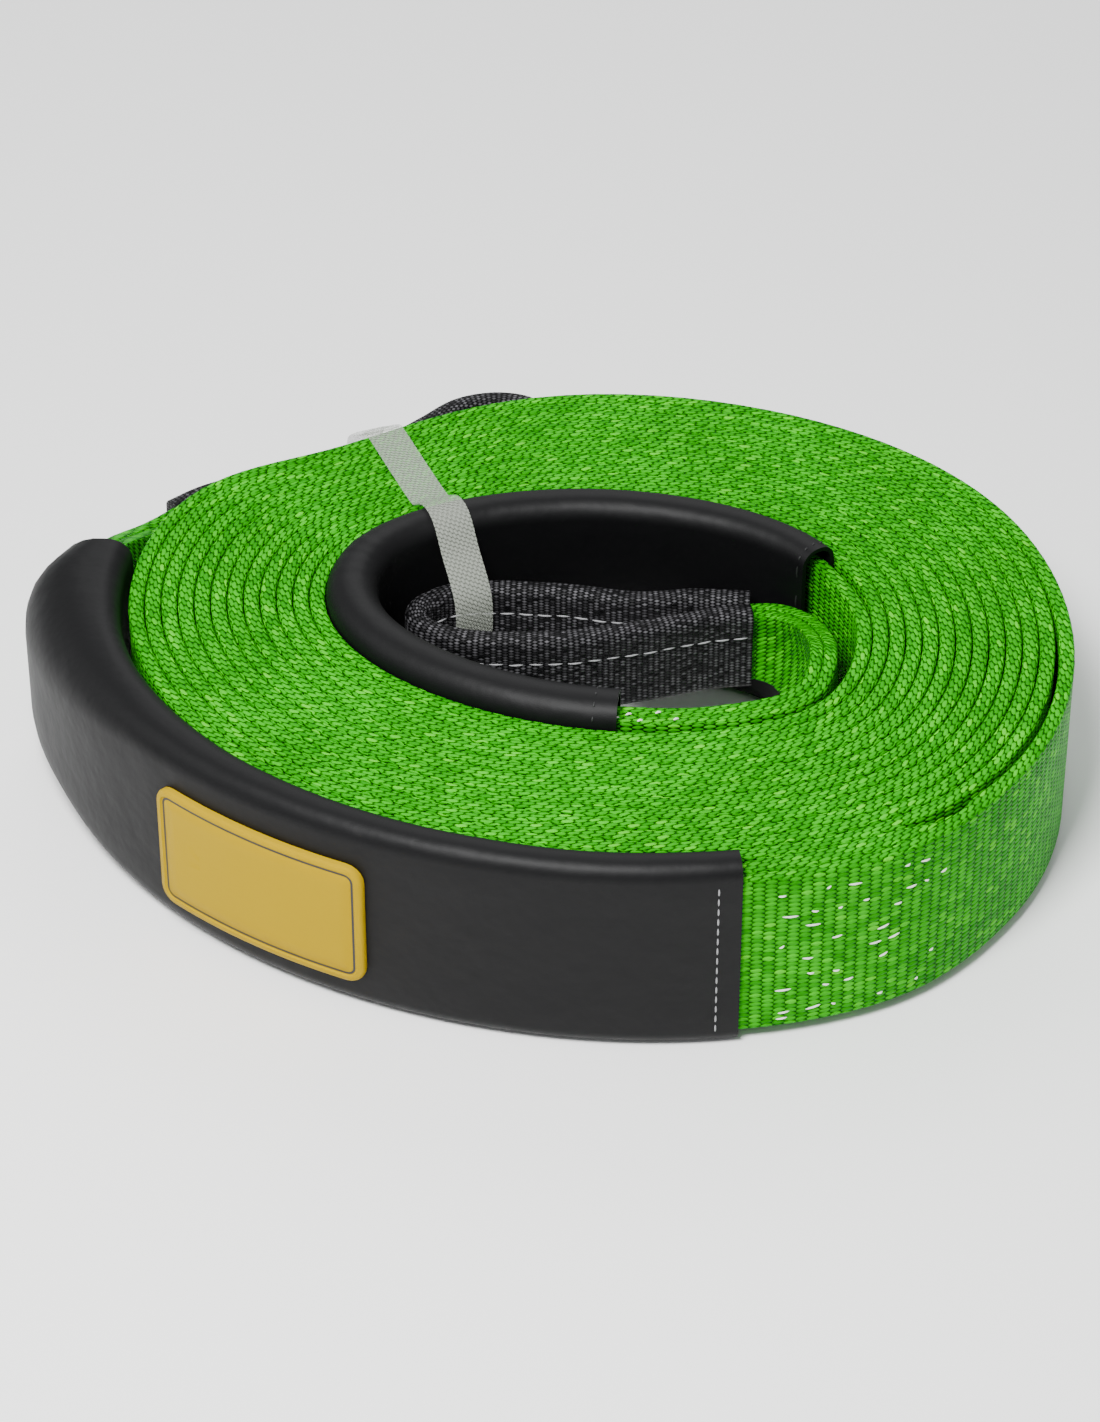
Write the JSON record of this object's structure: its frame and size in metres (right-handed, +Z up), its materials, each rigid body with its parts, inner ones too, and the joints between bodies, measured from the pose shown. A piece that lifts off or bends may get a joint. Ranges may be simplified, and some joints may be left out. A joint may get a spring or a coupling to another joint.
{
  "type": "coiled recovery strap",
  "caption": "Flat green webbing strap wound into an oval coil, with smooth wear sleeves, a sleeved loop at each end, a blank badge and a tie tape",
  "frame": {"origin": "middle of the footprint, on the floor", "axes": "+X along the longer side of the oval coil, with the outer sleeve's open end at -X; +Z up, along the coil's axis; -Y is the side with the badge"},
  "size_m": [0.3408, 0.2764, 0.0724],
  "materials": {
    "webbing": "woven polyester, soft sheen",
    "smooth_sleeve": "smooth coated fabric, satin",
    "woven_sleeve": "ribbed woven nylon, matt",
    "badge_rubber": "moulded, satin",
    "tape": "woven tape, matt"
  },
  "bodies": {
    "root": {"webbing_strap": "webbing", "inner_wear_sleeve": "smooth_sleeve", "outer_wear_sleeve": "smooth_sleeve", "inner_eye_sleeve": "woven_sleeve", "outer_eye_sleeve": "woven_sleeve", "rubber_badge": "badge_rubber", "tie_tape": "tape"}
  },
  "joints": []
}
